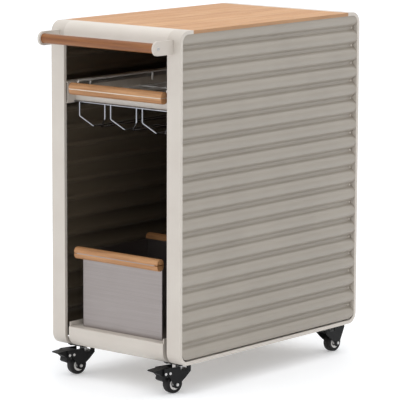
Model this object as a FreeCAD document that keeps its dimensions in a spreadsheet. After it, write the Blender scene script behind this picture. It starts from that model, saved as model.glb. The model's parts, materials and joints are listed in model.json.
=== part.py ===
import FreeCAD, Part
import math
import os
import Sketcher
from FreeCAD import Rotation, Vector

# A serving trolley: two bent flat-bar hoops with corrugated side panels, a staved worktop, a
# wooden push handle, a pull-out wire tray over a stemware rack, a lift-out steel bin on the
# bottom shelf and four swivel casters, the front two with brake levers.
#
# Millimetres.  +Z is up and the floor is z = 0.  The front, with the handle, faces -Y.  The
# origin is on the floor at the centre of the whole trolley, handle included.

os.makedirs("parts", exist_ok=True)
doc = FreeCAD.newDocument("ServingTrolley")
sheet = doc.addObject("Spreadsheet::Sheet", "Sizes")


class Size:
    """A length with its number and the sheet formula that gives it."""

    def __init__(self, number, formula):
        self.number = float(number)
        self.formula = formula

    def combine(self, sign, other, result):
        other = as_size(other)
        return Size(result(self.number, other.number), f"({self.formula} {sign} {other.formula})")

    def __add__(self, other):
        return self.combine("+", other, lambda a, b: a + b)

    def __sub__(self, other):
        return self.combine("-", other, lambda a, b: a - b)

    def __mul__(self, other):
        return self.combine("*", other, lambda a, b: a * b)

    def __truediv__(self, other):
        return self.combine("/", other, lambda a, b: a / b)

    def __radd__(self, other):
        return as_size(other) + self

    def __rsub__(self, other):
        return as_size(other) - self

    def __rmul__(self, other):
        return as_size(other) * self

    def __neg__(self):
        return Size(-self.number, f"(0 - {self.formula})")


def as_size(value):
    return value if isinstance(value, Size) else Size(value, repr(float(value)))


sheet_rows = []


def size(name, number, meaning):
    """Write one driving dimension to the sheet and return it."""
    sheet_rows.append(name)
    row = len(sheet_rows)
    sheet.set(f"A{row}", meaning)
    sheet.set(f"B{row}", str(number))
    sheet.setAlias(f"B{row}", name)
    return Size(number, f"Sizes.{name}")


# ---- driving dimensions ----------------------------------------------------------------------

frame_width = size("frame_width", 438, "outside width over the two hoops")
frame_depth = size("frame_depth", 738, "outside depth of the hoops")
frame_top = size("frame_top", 930, "height of the worktop above the floor")
frame_base = size("frame_base", 81, "height of the hoops' underside above the floor")

bar_width = size("bar_width", 44, "width of the hoop's flat bar")
bar_thickness = size("bar_thickness", 9, "thickness of the hoop's flat bar")
bend_radius = size("bend_radius", 30, "outside radius of every hoop and fascia bend")
cap_length = size("cap_length", 50, "how far the hoops and fascias run back over the top")
fascia_drop = size("fascia_drop", 40, "height of the front and rear fascias")

rib_pitch = size("rib_pitch", 47.14, "spacing of the side panel's valleys")
rib_depth = size("rib_depth", 13.5, "depth of the corrugation")
valley_radius = size("valley_radius", 6.8, "outside radius at the bottom of a valley")
first_valley = size("first_valley", 35.5, "from the worktop down to the first valley")
panel_sheet = size("panel_sheet", 1.5, "thickness of the side and back panels")
panel_gap = size("panel_gap", 3, "gap between a side panel and the bottom of its hoop")
back_margin = size("back_margin", 16, "from the frame's side in to the back panel's edge")

stave_count = 9
stave_chamfer = size("stave_chamfer", 0.6, "chamfer along each stave's top edges")
rail_width = size("rail_width", 26, "width of the bars under the worktop")
rail_thickness = size("rail_thickness", 5, "thickness of the bars under the worktop")

handle_reach = size("handle_reach", 76, "how far the handle brackets stand out in front")
bracket_height = size("bracket_height", 36, "height of a handle bracket")
bracket_thickness = size("bracket_thickness", 6, "thickness of a handle bracket")
bracket_inset = size("bracket_inset", 23, "from the frame's side in to the bracket")
handle_drop = size("handle_drop", 39.5, "from the worktop down to the handle's axis")
handle_radius = size("handle_radius", 12.5, "radius of the wooden handle")
handle_screw_radius = size("handle_screw_radius", 4.5, "head radius of a handle screw")
handle_screw_height = size("handle_screw_height", 2.5, "head height of a handle screw")
handle_screw_shank = size("handle_screw_shank", 2.5, "shank radius of a handle screw")
handle_screw_socket = size("handle_screw_socket", 2, "socket radius in a handle screw")

shelf_height = size("shelf_height", 134, "height of the bottom shelf above the floor")
shelf_gap = size("shelf_gap", 13, "gap between the shelf and the hoops' bars")
shelf_sheet = size("shelf_sheet", 2, "thickness of the shelf's sheet")
shelf_flange = size("shelf_flange", 95, "length of the shelf's lower return flange")
shelf_lip = size("shelf_lip", 12, "height of the shelf's side lips")
shelf_edge_radius = size("shelf_edge_radius", 3, "radius of the shelf's upper bends")

support_inset = size("support_inset", 170, "from the middle to the tray supports' web")
support_bottom = size("support_bottom", 719.5, "height of the tray supports' lower edge")
support_height = size("support_height", 54.5, "height of the tray supports")
support_sheet = size("support_sheet", 2, "thickness of the tray supports")
support_flange = size("support_flange", 31, "width of the tray supports' flanges")
carrier_bottom = size("carrier_bottom", 725, "height of the cross bars' underside")
carrier_height = size("carrier_height", 15, "height of the cross bars under the tray")
carrier_thickness = size("carrier_thickness", 10, "thickness of the cross bars under the tray")
carrier_inset = size("carrier_inset", 37, "from the frame's front in to the first cross bar")

rack_slots = 3
rack_pitch = size("rack_pitch", 108, "spacing of the stemware rack's slots")
rack_slot_width = size("rack_slot_width", 88, "width between the upright wires of a slot")
rack_throat = size("rack_throat", 28, "width between the lower wires of a slot")
rack_inset = size("rack_inset", 34, "from the frame's front in to the rack")
rack_length = size("rack_length", 546, "length of the stemware rack")
rack_upright = size("rack_upright", 37, "length of the rack's upright wires")
rack_foot_drop = size("rack_foot_drop", 26, "drop of the rack's splayed feet")
rack_foot_run = size("rack_foot_run", 20, "how far a splayed foot runs back")
rack_wire = size("rack_wire", 2.25, "radius of the rack's wire")
rack_bend = size("rack_bend", 6, "bend radius of the rack's wire")

tray_half_width = size("tray_half_width", 156, "from the middle to the tray's outside")
tray_length = size("tray_length", 648, "length of the tray over its grips")
tray_bottom = size("tray_bottom", 742, "height of the tray's lower edge")
tray_wall = size("tray_wall", 22, "height of the tray's walls")
tray_sheet = size("tray_sheet", 2, "thickness of the tray's walls")
tray_proud = size("tray_proud", 3, "how far the tray's grip stands in front of the frame")
floor_wire = size("floor_wire", 2, "radius of the tray floor's wires")
floor_columns = 5
floor_column_pitch = size("floor_column_pitch", 62, "spacing of the lengthways floor wires")
floor_rows = 6
floor_row_pitch = size("floor_row_pitch", 104, "spacing of the crossways floor wires")
gallery_rise = size("gallery_rise", 13, "height of the gallery wire above the tray's walls")
gallery_wire = size("gallery_wire", 2.75, "radius of the gallery wire")
gallery_bend = size("gallery_bend", 5, "bend radius at the gallery's ends")
gallery_foot = size("gallery_foot", 9, "how far the gallery's posts reach down the walls")
gallery_first_post = size("gallery_first_post", 77, "from the tray's front to the first post")
gallery_post_pitch = size("gallery_post_pitch", 245, "spacing of the gallery's posts")
gallery_posts = 3

runner_length = size("runner_length", 500, "length of the tray's runners")
runner_height = size("runner_height", 30, "height of the runner's channel")
runner_sheet = size("runner_sheet", 1.5, "thickness of the runner's channel")
runner_play = size("runner_play", 0.5, "clearance between the runner's channel and slide")

grip_height = size("grip_height", 31, "height of every wooden grip")
grip_depth = size("grip_depth", 26, "depth of every wooden grip")
grip_flange = size("grip_flange", 2, "thickness of the flange between a grip's halves")
grip_round = size("grip_round", 11.5, "rounding of a grip's long edges")
grip_end_round = size("grip_end_round", 1.5, "rounding of a grip's ends")
tray_grip_half = size("tray_grip_half", 157.5, "half the length of a tray grip")

bin_half_width = size("bin_half_width", 136.5, "half the width of the bin")
bin_depth = size("bin_depth", 256, "depth of the bin")
bin_inset = size("bin_inset", 26, "from the frame's front in to the bin's face")
bin_height = size("bin_height", 198, "height of the bin up to its flanges")
bin_sheet = size("bin_sheet", 1.5, "thickness of the bin's sheet")
bin_corner = size("bin_corner", 3, "radius of the bin's corners")
bin_play = size("bin_play", 0.3, "clearance under the bin")
bin_grip_half = size("bin_grip_half", 143, "half the length of a bin grip")

caster_side = size("caster_side", 53, "from the frame's side in to a caster's kingpin")
caster_end = size("caster_end", 60, "from the frame's front or rear to a kingpin")
plate_size = size("plate_size", 60, "side of a caster's square plate")
plate_thickness = size("plate_thickness", 4, "thickness of a caster's plate")
plate_corner = size("plate_corner", 5, "corner radius of a caster's plate")
plate_hole_pitch = size("plate_hole_pitch", 44, "spacing of a caster plate's holes")
plate_hole = size("plate_hole", 2.75, "radius of a caster plate's holes")
plate_screw = size("plate_screw", 2.7, "shank radius of a caster screw")
plate_screw_head = size("plate_screw_head", 4.5, "head radius of a caster screw")
plate_screw_height = size("plate_screw_height", 2.5, "head height of a caster screw")
trail = size("trail", 22, "from a caster's kingpin to its axle")
wheel_radius = size("wheel_radius", 25, "radius of a caster's tyre")
tyre_width = size("tyre_width", 17, "width of a caster's tyre")
tyre_round = size("tyre_round", 4, "rounding of the tyre's shoulders")
hub_radius = size("hub_radius", 15.5, "outside radius of the wheel's hub ring")
hub_inner = size("hub_inner", 11, "inside radius of the wheel's hub ring")
hub_web = size("hub_web", 6, "thickness of the hub's web")
hub_boss = size("hub_boss", 6, "radius of the hub's boss")
axle_radius = size("axle_radius", 3, "radius of a caster's axle")
running_play = size("running_play", 0.05, "clearance all round a pin that turns")
nut_radius = size("nut_radius", 4.5, "radius of the axle's nut and head")
nut_height = size("nut_height", 4, "height of the axle's nut and head")
cheek_half = size("cheek_half", 20, "from the middle of a fork to its outside")
cheek_sheet = size("cheek_sheet", 3, "thickness of a fork's cheeks")
crown_top = size("crown_top", 60, "height of a fork's crown above the floor")
crown_sheet = size("crown_sheet", 3, "thickness of a fork's crown")
cheek_top = size("cheek_top", 70, "height of a fork's cheeks above the floor")
fork_tail = size("fork_tail", 22, "from the kingpin to the fork's blunt end")
fork_toe = size("fork_toe", 10, "radius of the fork round the axle")
plain_nose = size("plain_nose", 50, "from the kingpin to the nose of a plain fork")
brake_nose = size("brake_nose", 62, "from the kingpin to the nose of a braked fork")
tail_corner = size("tail_corner", 56, "height of the lower corner of the fork's blunt end")
waist_back = size("waist_back", 5, "from the kingpin back to the fork's waist")
waist_height = size("waist_height", 40, "height of the fork's waist")
toe_top = size("toe_top", 27, "height where the fork narrows to its toe")
plain_corner = size("plain_corner", 66, "height of a plain fork's nose corner")
brake_corner = size("brake_corner", 51, "height of a braked fork's nose corner")
brake_knee = size("brake_knee", 46, "from the kingpin to a braked fork's knee")
kingpin_radius = size("kingpin_radius", 4, "radius of the kingpin")
kingpin_boss = size("kingpin_boss", 10, "radius of the kingpin's boss")
kingpin_head = size("kingpin_head", 7, "radius of the kingpin's lower head")
kingpin_head_height = size("kingpin_head_height", 3, "height of the kingpin's lower head")
kingpin_play = size("kingpin_play", 0.3, "end clearance of the fork on its kingpin")
lever_half = size("lever_half", 15, "half the width of a brake lever")
lever_reach = size("lever_reach", 47, "from a brake lever's pivot to its tip")
pivot_reach = size("pivot_reach", 43, "from the kingpin to the brake lever's pivot")
pivot_height = size("pivot_height", 56.5, "height of the brake lever's pivot")
rivet_spacing = size("rivet_spacing", 14, "spacing of the two rivets in a fork's cheek")
rivet_radius = size("rivet_radius", 2.5, "radius of the brake lever's pivot")
rivet_head = size("rivet_head", 3.5, "head radius of a fork's rivets")
rivet_head_height = size("rivet_head_height", 1, "head height of a fork's rivets")

swivel_angles = {
    "front_left": size("front_left_swivel", -13, "turn of the front left caster, degrees"),
    "front_right": size("front_right_swivel", -13, "turn of the front right caster, degrees"),
    "rear_left": size("rear_left_swivel", 175, "turn of the rear left caster, degrees"),
    "rear_right": size("rear_right_swivel", 175, "turn of the rear right caster, degrees"),
}

# ---- places worked out from them -------------------------------------------------------------

side = frame_width / 2
front = handle_reach / 2 - frame_depth / 2
rear = handle_reach / 2 + frame_depth / 2
cap_underside = frame_top - bar_thickness
bar_inner = side - bar_width
inner_front = front + bar_thickness
inner_rear = rear - bar_thickness
panel_back = side - rib_depth - panel_sheet
grip_middle = tray_bottom + grip_height / 2 + 1
doc.recompute()

nodes = {}

# ---- helpers ---------------------------------------------------------------------------------


def bind(item, target, value):
    """Tie one property of an object to the sheet."""
    item.setExpression(target, as_size(value).formula)


def place(item, x=0, y=0, z=0, angle=None):
    """Give an object its place, and its turn about +Z where it has one."""
    turn = Rotation(Vector(0, 0, 1), angle.number) if angle is not None else Rotation()
    where = Vector(*(as_size(value).number for value in (x, y, z)))
    item.Placement = FreeCAD.Placement(where, turn)
    for target, value in (("x", x), ("y", y), ("z", z)):
        bind(item, f".Placement.Base.{target}", value)
    if angle is not None:
        bind(item, ".Placement.Rotation.Angle", angle)


def node(label, item):
    """Name an object as one of the trolley's sub-parts."""
    item.Label = label
    nodes[label] = item
    return item


def make_body(label):
    return node(label, doc.addObject("PartDesign::Body", label))


def add_sketch(body, plane):
    """An empty sketch on one of the body's own planes: XY, XZ or YZ."""
    item = body.newObject("Sketcher::SketchObject", f"{body.Name}_sketch")
    for feature in body.Origin.OriginFeatures:
        if feature.Role == f"{plane}_Plane":
            item.AttachmentSupport = [(feature, "")]
    item.MapMode = "FlatFace"
    return item


def pin_point(sketch, edge, point, x, y):
    """Hold one point of a sketch at x, y from the sheet."""
    for kind, value in (("DistanceX", x), ("DistanceY", y)):
        value = as_size(value)
        index = sketch.addConstraint(
            Sketcher.Constraint(kind, -1, 1, edge, point, value.number)
        )
        bind(sketch, f"Constraints[{index}]", value)


def draw_outline(sketch, corners):
    """A closed outline of straight lines through the given corners."""
    places = [Vector(as_size(x).number, as_size(y).number, 0) for x, y in corners]
    first = sketch.GeometryCount
    count = len(corners)
    for index in range(count):
        sketch.addGeometry(Part.LineSegment(places[index], places[(index + 1) % count]), False)
    for index in range(count):
        following = first + (index + 1) % count
        sketch.addConstraint(Sketcher.Constraint("Coincident", first + index, 2, following, 1))
    for index, (x, y) in enumerate(corners):
        pin_point(sketch, first + index, 1, x, y)


def draw_circle(sketch, x, y, radius):
    centre = Vector(as_size(x).number, as_size(y).number, 0)
    circle = sketch.addGeometry(Part.Circle(centre, Vector(0, 0, 1), radius.number), False)
    pin_point(sketch, circle, 3, x, y)
    index = sketch.addConstraint(Sketcher.Constraint("Radius", circle, radius.number))
    bind(sketch, f"Constraints[{index}]", radius)


def rectangle(x0, x1, y0, y1):
    return [(x0, y0), (x1, y0), (x1, y1), (x0, y1)]


def add_pad(body, plane, corners, length, both_ways=True, holes=()):
    """Pad an outline, with round holes, evenly both ways from its plane or one way."""
    sketch = add_sketch(body, plane)
    draw_outline(sketch, corners)
    for x, y, radius in holes:
        draw_circle(sketch, x, y, radius)
    pad = body.newObject("PartDesign::Pad", f"{body.Name}_pad")
    pad.Profile = sketch
    pad.SideType = "Symmetric" if both_ways else "One side"
    bind(pad, "Length", length)
    doc.recompute()
    return pad


def add_pocket(body, plane, corners):
    """Cut an outline right through the body, both ways from its plane."""
    before = body.Shape.Volume
    sketch = add_sketch(body, plane)
    draw_outline(sketch, corners)
    return cut_through(body, sketch, before)


def add_bore(body, plane, x, y, radius):
    """Bore a round hole right through the body, both ways from its plane."""
    before = body.Shape.Volume
    sketch = add_sketch(body, plane)
    draw_circle(sketch, x, y, radius)
    return cut_through(body, sketch, before)


def cut_through(body, sketch, before):
    pocket = body.newObject("PartDesign::Pocket", f"{body.Name}_pocket")
    pocket.Profile = sketch
    pocket.Type = "ThroughAll"
    pocket.SideType = "Symmetric"
    doc.recompute()
    if not body.Shape.Volume < before:
        raise ValueError(f"{body.Label}: a cut took nothing away")
    return pocket


def add_revolution(body, corners):
    """Turn an outline of radii and heights about the body's own Z axis."""
    sketch = add_sketch(body, "XZ")
    draw_outline(sketch, corners)
    turned = body.newObject("PartDesign::Revolution", f"{body.Name}_revolution")
    turned.Profile = sketch
    turned.ReferenceAxis = (sketch, ["V_Axis"])
    turned.Angle = 360
    doc.recompute()
    return turned


def edges_along(shape, axis, matches):
    """Names of the straight edges parallel to an axis whose middle passes a test."""
    names = []
    for index, edge in enumerate(shape.Edges, 1):
        if edge.Curve.TypeId != "Part::GeomLine":
            continue
        direction = edge.Curve.Direction
        middle = edge.valueAt((edge.FirstParameter + edge.LastParameter) / 2)
        if abs(abs(direction.dot(axis)) - 1) < 1e-6 and matches(middle):
            names.append(f"Edge{index}")
    return names


def near(number, value):
    return abs(number - as_size(value).number) < 1e-3


def add_fillet(body, base, names, radius, kind="PartDesign::Fillet"):
    """Round, or chamfer, the named edges of a feature."""
    if not names:
        raise ValueError(f"{body.Label}: no edge to round")
    rounded = body.newObject(kind, f"{body.Name}_round")
    rounded.Base = (base, names)
    bind(rounded, "Radius" if kind.endswith("Fillet") else "Size", radius)
    doc.recompute()
    return rounded


X_AXIS = Vector(1, 0, 0)
Y_AXIS = Vector(0, 1, 0)
Z_AXIS = Vector(0, 0, 1)


def at_corners(corners):
    """A test for middles whose Y and Z are at one of the corners."""
    return lambda middle: any(near(middle.y, y) and near(middle.z, z) for y, z in corners)


def add_box(name, x0, x1, y0, y1, z0, z1):
    """A box between two corners."""
    box = doc.addObject("Part::Box", name)
    for target, low, high in (("Length", x0, x1), ("Width", y0, y1), ("Height", z0, z1)):
        bind(box, target, as_size(high) - low)
    place(box, x0, y0, z0)
    return box


def add_rod(name, x, y, z, radius, length, axis):
    """A cylinder that starts at x, y, z and runs along +X, +Y or +Z."""
    rod = doc.addObject("Part::Cylinder", name)
    bind(rod, "Radius", radius)
    bind(rod, "Height", length)
    place(rod, x, y, z)
    rod.Placement.Rotation = Rotation(Z_AXIS, axis)
    return rod


def join(label, items, kind="Part::MultiFuse"):
    """One node from several objects: fused, or kept apart in a Part::Compound."""
    whole = doc.addObject(kind, label)
    if kind == "Part::Compound":
        whole.Links = items
    else:
        whole.Shapes = items
    doc.recompute()
    return node(label, whole)


def set_shape(label, shape):
    """A node whose shape is built directly, placed in the trolley's own frame."""
    item = doc.addObject("Part::Feature", label)
    item.Shape = shape
    item.Placement = FreeCAD.Placement()
    return node(label, item)


def bent_wire(points, radius, bend):
    """Round wire through the points, with an arc of the bend radius at each turn."""
    points = [Vector(*(as_size(value).number for value in point)) for point in points]
    path = []
    start = points[0]
    for before, corner, after in zip(points, points[1:], points[2:]):
        arriving = (corner - before).normalize()
        leaving = (after - corner).normalize()
        half_turn = arriving.getAngle(leaving) / 2
        setback = bend.number * math.tan(half_turn)
        arc_start = corner - arriving * setback
        arc_end = corner + leaving * setback
        inward = (leaving - arriving).normalize()
        middle = corner + inward * (bend.number / math.cos(half_turn) - bend.number)
        path.append(Part.LineSegment(start, arc_start).toShape())
        path.append(Part.Arc(arc_start, middle, arc_end).toShape())
        start = arc_end
    path.append(Part.LineSegment(start, points[-1]).toShape())
    circle = Part.Circle(points[0], points[1] - points[0], radius.number).toShape()
    return Part.Wire(path).makePipeShell([Part.Wire(circle)], True, False)


# ---- frame -----------------------------------------------------------------------------------


def build_hoop(label, outer_x):
    """Flat bar bent down the front, along the bottom and up the rear, and over at both tops."""
    body = make_body(label)
    outline = [
        (front, frame_base),
        (rear, frame_base),
        (rear, frame_top),
        (rear - cap_length, frame_top),
        (rear - cap_length, cap_underside),
        (inner_rear, cap_underside),
        (inner_rear, frame_base + bar_thickness),
        (inner_front, frame_base + bar_thickness),
        (inner_front, cap_underside),
        (front + cap_length, cap_underside),
        (front + cap_length, frame_top),
        (front, frame_top),
    ]
    pad = add_pad(body, "YZ", outline, bar_width)
    outer = edges_along(
        pad.Shape,
        X_AXIS,
        at_corners([(y, z) for y in (front, rear) for z in (frame_base, frame_top)]),
    )
    outside = add_fillet(body, pad, outer, bend_radius)
    inner = edges_along(
        outside.Shape,
        X_AXIS,
        at_corners(
            [
                (y, z)
                for y in (inner_front, inner_rear)
                for z in (frame_base + bar_thickness, cap_underside)
            ]
        ),
    )
    add_fillet(body, outside, inner, bend_radius - bar_thickness)
    place(body, outer_x)


def build_fascia(label, face, toward_inside):
    """Full-width plate between the hoops, bent over the top like them."""
    body = make_body(label)
    inner = face + toward_inside * bar_thickness
    end = face + toward_inside * cap_length
    outline = [
        (face, frame_top - fascia_drop),
        (face, frame_top),
        (end, frame_top),
        (end, cap_underside),
        (inner, cap_underside),
        (inner, frame_top - fascia_drop),
    ]
    pad = add_pad(body, "YZ", outline, bar_inner * 2)
    outer = edges_along(pad.Shape, X_AXIS, at_corners([(face, frame_top)]))
    outside = add_fillet(body, pad, outer, bend_radius)
    hidden = edges_along(outside.Shape, X_AXIS, at_corners([(inner, cap_underside)]))
    add_fillet(body, outside, hidden, bend_radius - bar_thickness)


def corrugation_edges(crest_x, sheet_offset, sign):
    """Arcs of one face of the corrugated sheet, from above its top to below its bottom.

    Broad crest arcs and tight valley arcs meet at a common tangent.  sheet_offset is 0 for
    the outer face and the sheet's thickness for the inner one.
    """
    pitch = rib_pitch.number
    depth = rib_depth.number
    slope = 2 * math.atan(depth / (pitch / 2))
    valley = valley_radius.number
    crest = pitch / 2 / math.sin(slope) - valley
    crest_arc = crest - sheet_offset
    valley_arc = valley + sheet_offset
    top_valley = (frame_top - first_valley).number
    ribs = int((frame_top - frame_base).number / pitch) + 2
    edges = []
    for rib in range(ribs):
        valley_z = top_valley + pitch - rib * pitch
        crest_z = valley_z - pitch / 2
        for centre_x, centre_z, radius, bulge in (
            (-depth + valley, valley_z, valley_arc, -1),
            (-crest, crest_z, crest_arc, 1),
        ):
            points = []
            for turn in (slope, 0, -slope):
                x = centre_x + bulge * radius * math.cos(turn)
                z = centre_z + radius * math.sin(turn)
                points.append(Vector(sign * (crest_x + x), 0, z))
            edges.append(Part.Arc(*points).toShape())
    return edges


def build_side_panel(label, sign):
    """Corrugated sheet with level ribs, its crests flush with the hoop's outer edge."""
    crest_x = side.number
    outer = corrugation_edges(crest_x, 0, sign)
    inner = corrugation_edges(crest_x, panel_sheet.number, sign)
    ends = [
        Part.LineSegment(outer[0].Vertexes[0].Point, inner[0].Vertexes[0].Point).toShape(),
        Part.LineSegment(outer[-1].Vertexes[-1].Point, inner[-1].Vertexes[-1].Point).toShape(),
    ]
    section = Part.Face(Part.Wire(Part.__sortEdges__(outer + inner + ends)))
    section.translate(Vector(0, inner_front.number, 0))
    sheet_run = section.extrude(Vector(0, (inner_rear - inner_front).number, 0))
    opening = Part.makeBox(
        (rib_depth + panel_sheet * 2).number,
        (inner_rear - inner_front).number,
        (cap_underside - frame_base - bar_thickness - panel_gap).number,
        Vector(
            (sign * side - (rib_depth + panel_sheet * 2) * (0.5 + sign / 2)).number,
            inner_front.number,
            (frame_base + bar_thickness + panel_gap).number,
        ),
    )
    corners = [edge for edge in opening.Edges if abs(edge.tangentAt(0).x) > 0.5]
    rounded = opening.makeFillet((bend_radius - bar_thickness).number, corners)
    set_shape(label, sheet_run.common(rounded))


def build_back_panel():
    """Flat sheet that closes the rear, standing on the shelf behind the rear fascia."""
    body = make_body("back_panel")
    half = side - back_margin
    top = cap_underside - (bend_radius - bar_thickness)
    outline = rectangle(-half, half, shelf_height, top)
    add_pad(body, "XZ", outline, panel_sheet)
    place(body, 0, inner_rear - panel_sheet / 2)


def build_worktop():
    """Solid staves glued edge to edge, let in flush between the two fascias."""
    stave_width = frame_width / stave_count
    staves = []
    for index in range(stave_count):
        left = stave_width * index - side
        stave = add_box(
            f"stave_{index + 1}",
            left,
            left + stave_width,
            front + cap_length,
            rear - cap_length,
            cap_underside,
            frame_top,
        )
        doc.recompute()
        chamfer = doc.addObject("Part::Chamfer", f"stave_{index + 1}_edges")
        chamfer.Base = stave
        top_edges = edges_along(stave.Shape, Y_AXIS, lambda middle: near(middle.z, frame_top))
        width = stave_chamfer.number
        chamfer.Edges = [(int(name[4:]), width, width) for name in top_edges]
        staves.append(chamfer)
    join("worktop", staves, "Part::Compound")


def build_worktop_bars():
    """Flat bars that carry the worktop: one along each side and three across between them."""
    top = cap_underside
    low = top - rail_thickness
    outer = panel_back - 1
    inner = outer - rail_width
    start = front + bend_radius
    end = rear - bend_radius
    rails = [
        add_box("left_rail", -outer, -inner, start, end, low, top),
        add_box("right_rail", inner, outer, start, end, low, top),
    ]
    join("worktop_side_rails", rails, "Part::Compound")
    bars = []
    span = (rear - front - cap_length * 2 - rail_width) / 2
    for index in range(3):
        start = front + cap_length + span * index
        end = start + rail_width
        bars.append(add_box(f"cross_bar_{index + 1}", -inner, inner, start, end, low, top))
    join("worktop_cross_bars", bars, "Part::Compound")


def build_shelf():
    """Folded sheet: flat top, a fascia at each end bent under along the floor side, side lips."""
    body = make_body("shelf_sheet_body")
    half = bar_inner - shelf_gap
    under = frame_base
    sheet = shelf_sheet
    outline = [
        (front, under),
        (front, shelf_height),
        (rear, shelf_height),
        (rear, under),
        (rear - shelf_flange, under),
        (rear - shelf_flange, under + sheet),
        (rear - sheet, under + sheet),
        (rear - sheet, shelf_height - sheet),
        (front + sheet, shelf_height - sheet),
        (front + sheet, under + sheet),
        (front + shelf_flange, under + sheet),
        (front + shelf_flange, under),
    ]
    pad = add_pad(body, "YZ", outline, half * 2)
    low_outer = edges_along(pad.Shape, X_AXIS, at_corners([(front, under), (rear, under)]))
    lower = add_fillet(body, pad, low_outer, bend_radius)
    low_inner_corners = [(front + sheet, under + sheet), (rear - sheet, under + sheet)]
    low_inner = edges_along(lower.Shape, X_AXIS, at_corners(low_inner_corners))
    lower = add_fillet(body, lower, low_inner, bend_radius - sheet)
    top_corners = [(front, shelf_height), (rear, shelf_height)]
    top_edges = edges_along(lower.Shape, X_AXIS, at_corners(top_corners))
    add_fillet(body, lower, top_edges, shelf_edge_radius)
    del nodes[body.Label]
    lip_front = front + shelf_edge_radius
    lip_rear = inner_rear - panel_sheet
    lips = []
    for name, x0, x1 in (("left_lip", -half, sheet - half), ("right_lip", half - sheet, half)):
        height = shelf_height + shelf_lip
        lips.append(add_box(name, x0, x1, lip_front, lip_rear, shelf_height - sheet, height))
    join("bottom_shelf", [body] + lips)


# ---- handle ----------------------------------------------------------------------------------


def build_handle():
    """Round wooden bar between two plates, held by a socket screw at each end."""
    screw_y = front - handle_reach + bracket_height / 2
    handle_z = frame_top - handle_drop
    plate_outer = side - bracket_inset
    plate_inner = plate_outer - bracket_thickness
    bar = make_body("handle_bar")
    sketch = add_sketch(bar, "YZ")
    draw_circle(sketch, 0, 0, handle_radius)
    pad = bar.newObject("PartDesign::Pad", "handle_bar_pad")
    pad.Profile = sketch
    pad.SideType = "Symmetric"
    bind(pad, "Length", plate_inner * 2)
    place(bar, 0, screw_y, handle_z)
    doc.recompute()
    for label, sign in (("left_handle_bracket", -1), ("right_handle_bracket", 1)):
        bracket = make_body(label)
        half = bracket_height / 2
        reach = handle_reach - half
        outline = [(-half, -half), (reach, -half), (reach, half), (-half, half)]
        plate = add_pad(bracket, "YZ", outline, bracket_thickness)
        nose = edges_along(plate.Shape, X_AXIS, lambda middle: near(middle.y, -half))
        add_fillet(bracket, plate, nose, half - 0.01)
        add_bore(bracket, "YZ", 0, 0, handle_screw_shank)
        place(bracket, sign * (plate_outer - bracket_thickness / 2), screw_y, handle_z)
    screws = []
    for name, sign in (("left", -1), ("right", 1)):
        screw = doc.addObject("PartDesign::Body", f"{name}_handle_screw")
        head = plate_outer + handle_screw_height
        add_revolution(
            screw,
            [
                (0, plate_inner),
                (handle_screw_shank, plate_inner),
                (handle_screw_shank, plate_outer),
                (handle_screw_radius, plate_outer),
                (handle_screw_radius, head),
                (handle_screw_socket, head),
                (handle_screw_socket, plate_outer + handle_screw_height / 4),
                (0, plate_outer + handle_screw_height / 4),
            ],
        )
        place(screw, 0, screw_y, handle_z)
        screw.Placement.Rotation = Rotation(Z_AXIS, Vector(sign, 0, 0))
        screws.append(screw)
    join("handle_screws", screws, "Part::Compound")


# ---- tray support and stemware rack ----------------------------------------------------------


def build_supports():
    """Folded channels along both sides, and the two cross bars that tie them together."""
    ends = (inner_front, inner_rear - panel_sheet)
    length = ends[1] - ends[0]
    for label, sign in (("left_tray_support", -1), ("right_tray_support", 1)):
        body = make_body(label)
        web = support_inset
        back = web + support_sheet
        edge = web + support_flange
        low = support_bottom
        high = support_bottom + support_height
        outline = [
            (web * sign, low),
            (edge * sign, low),
            (edge * sign, low + support_sheet),
            (back * sign, low + support_sheet),
            (back * sign, high - support_sheet),
            (edge * sign, high - support_sheet),
            (edge * sign, high),
            (web * sign, high),
        ]
        add_pad(body, "XZ", outline, length)
        place(body, 0, (ends[0] + ends[1]) / 2)
    bars = []
    low = carrier_bottom
    high = carrier_bottom + carrier_height
    first = front + carrier_inset
    last = front + rack_inset + rack_length - carrier_thickness - (carrier_inset - rack_inset)
    for name, start in (("front_carrier_bar", first), ("rear_carrier_bar", last)):
        end = start + carrier_thickness
        bars.append(add_box(name, -support_inset, support_inset, start, end, low, high))
    join("tray_carrier_bars", bars, "Part::Compound")


def build_rack():
    """Three slots for stemmed glasses: bent wires hung from two cross wires."""
    top = carrier_bottom - rack_wire
    start = front + rack_inset
    end = start + rack_length
    knee = top - rack_upright
    low = knee - rack_foot_drop
    splay = (rack_slot_width - rack_throat) / 2
    wires = []
    for slot in range(rack_slots):
        centre = rack_pitch * (slot - (rack_slots - 1) / 2)
        for sign in (-1, 1):
            upper_x = centre + rack_slot_width / 2 * sign
            lower_x = upper_x - splay * sign
            points = [
                (upper_x, start, top),
                (upper_x, start, knee),
                (lower_x, start + rack_foot_run, low),
                (lower_x, end - rack_foot_run, low),
                (upper_x, end, knee),
                (upper_x, end, top),
            ]
            wires.append(bent_wire(points, rack_wire, rack_bend))
    for y in (start, end):
        foot = Vector(-support_inset.number, y.number, top.number)
        length = support_inset.number * 2
        wires.append(Part.makeCylinder(rack_wire.number, length, foot, X_AXIS))
    set_shape("glass_rack", wires[0].multiFuse(wires[1:]))


# ---- tray ------------------------------------------------------------------------------------


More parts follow.
